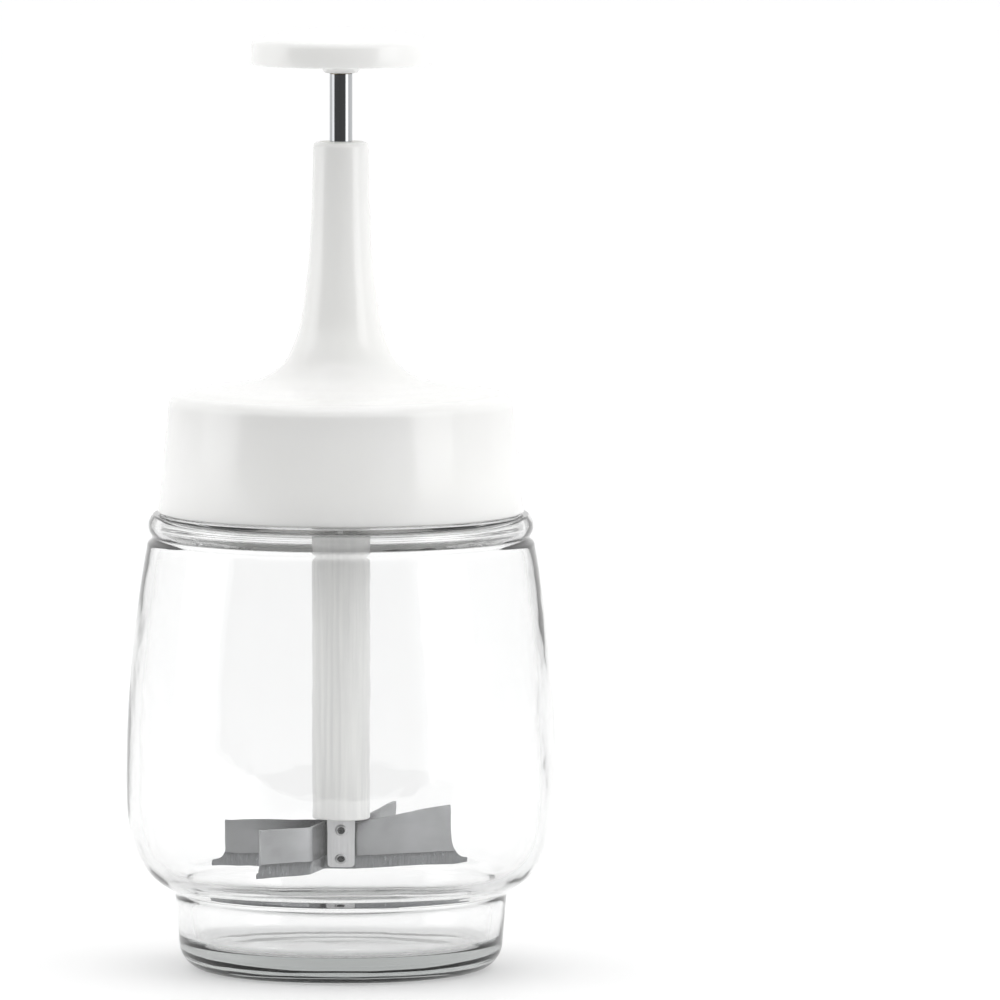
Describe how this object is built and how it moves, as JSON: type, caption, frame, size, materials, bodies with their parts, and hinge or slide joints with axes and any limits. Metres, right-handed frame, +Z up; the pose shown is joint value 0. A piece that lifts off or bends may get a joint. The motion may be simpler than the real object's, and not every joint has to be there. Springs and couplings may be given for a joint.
{
  "type": "plunger food chopper",
  "caption": "Spring-loaded plunger chopper: a knob on a rod drives bent blades inside a clear footed jar closed by a tall-necked screw cap.",
  "frame": {"origin": "on the jar's axis, at the surface that the jar stands on", "axes": "+Z up along the plunger, -Y is the side that the front blade's lighter arm comes towards"},
  "size_m": [0.0946, 0.0946, 0.2076],
  "materials": {
    "glass": "clear pressed glass",
    "white_gloss": "glossy moulded",
    "white_satin": "satin moulded",
    "seal_rubber": "matt",
    "chrome": "bright plated",
    "steel": "pressed",
    "spring_steel": "drawn wire",
    "bracket_steel": "bright",
    "blade_steel": "matt, ground edge",
    "brass": "turned"
  },
  "bodies": {
    "jar": {"jar": "glass"},
    "seal": {"cap_seal": "seal_rubber"},
    "lid": {"cap": "white_gloss", "guide_tube": "white_satin", "neck_bush": "white_satin", "tube_bush": "white_satin", "lower_spring_washer": "steel", "return_spring": "spring_steel"},
    "slider": {"upper_spring_washer": "steel"},
    "plunger": {"plunger_rod": "chrome", "rod_clip": "steel", "stop_bumper": "seal_rubber", "knob": "white_gloss", "knob_insert": "brass", "blade_bracket": "bracket_steel", "blade_spacer": "bracket_steel", "front_blade": "blade_steel", "rear_blade": "blade_steel", "rod_end_washer": "steel", "blade_rivets": "bracket_steel"}
  },
  "joints": [
    {"name": "lid_lift", "type": "slide", "parent": "jar", "child": "seal", "axis": [0, 0, 1], "range_m": [0, 0.11]},
    {"name": "lid_turn", "type": "hinge", "parent": "seal", "child": "lid", "pos_m": [0, 0, 0.11], "axis": [0, 0, 1], "range_deg": [0, 1885.7]},
    {"name": "plunger", "type": "slide", "parent": "lid", "child": "slider", "axis": [0, 0, -1], "range_m": [0, 0.015], "stiffness_N_per_m": 600, "springref_m": -0.01, "deforming": ["return_spring"]},
    {"name": "plunger_spin", "type": "hinge", "parent": "slider", "child": "plunger", "pos_m": [0, 0, 0.19], "axis": [0, 0, 1], "continuous": true}
  ],
  "couplings": [
    {"joint": "lid_lift", "follows": "lid_turn", "m_per_rad": 0.0033423}
  ]
}
